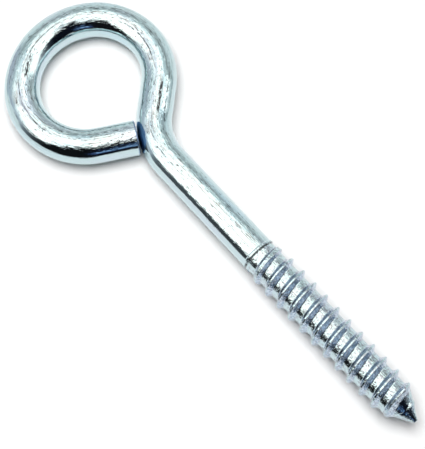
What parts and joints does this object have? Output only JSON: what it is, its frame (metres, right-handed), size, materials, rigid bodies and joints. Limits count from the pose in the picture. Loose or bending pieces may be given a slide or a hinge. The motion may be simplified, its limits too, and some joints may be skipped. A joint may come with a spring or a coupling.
{
  "type": "screw eye bolt",
  "caption": "Zinc-plated steel screw eye: a round rod bent into an open eye, with a straight shank and a pointed lag thread that screws into timber to give a tie or lifting point.",
  "frame": {"origin": "on the shank's axis, in the rod's mid-plane, abreast of the middle of the eye", "axes": "+X along the shank from the eye to the point, +Z square to the plane of the eye, so the eye lies flat in X and Y"},
  "size_m": [0.1467, 0.0475, 0.0116],
  "materials": {
    "zinc_plate": "bright bluish zinc plating on drawn steel rod, with fine lengthwise drawing lines"
  },
  "bodies": {
    "root": {"eye_tail": "zinc_plate", "eye_far_side": "zinc_plate", "eye_crown": "zinc_plate", "eye_near_side": "zinc_plate", "neck_run": "zinc_plate", "neck_bend": "zinc_plate", "shank": "zinc_plate", "lag_thread": "zinc_plate"}
  },
  "joints": []
}
